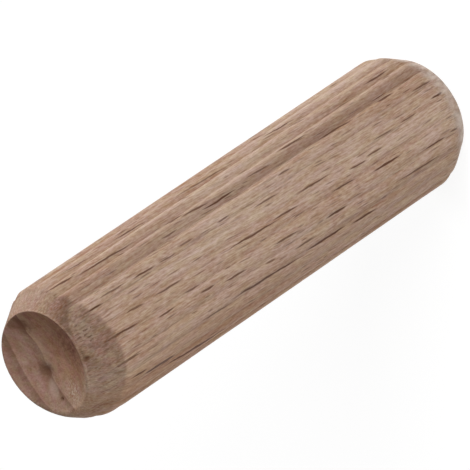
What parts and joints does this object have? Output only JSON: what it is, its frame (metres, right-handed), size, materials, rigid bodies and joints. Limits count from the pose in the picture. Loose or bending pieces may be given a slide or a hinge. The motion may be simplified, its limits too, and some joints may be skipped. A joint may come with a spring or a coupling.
{
  "type": "dowel pin",
  "caption": "Round wooden dowel pin with a finely fluted shank, a chamfer at each end and a shallow dish in each end face, for joining two boards.",
  "frame": {"origin": "middle of the foot end, on the surface that the pin stands on", "axes": "+Z along the pin, from the foot end to the head end; +X through the crest of one reed"},
  "size_m": [0.0102, 0.0102, 0.04],
  "materials": {
    "beech": "matte"
  },
  "bodies": {
    "root": {"dowel_pin": "beech"}
  },
  "joints": []
}
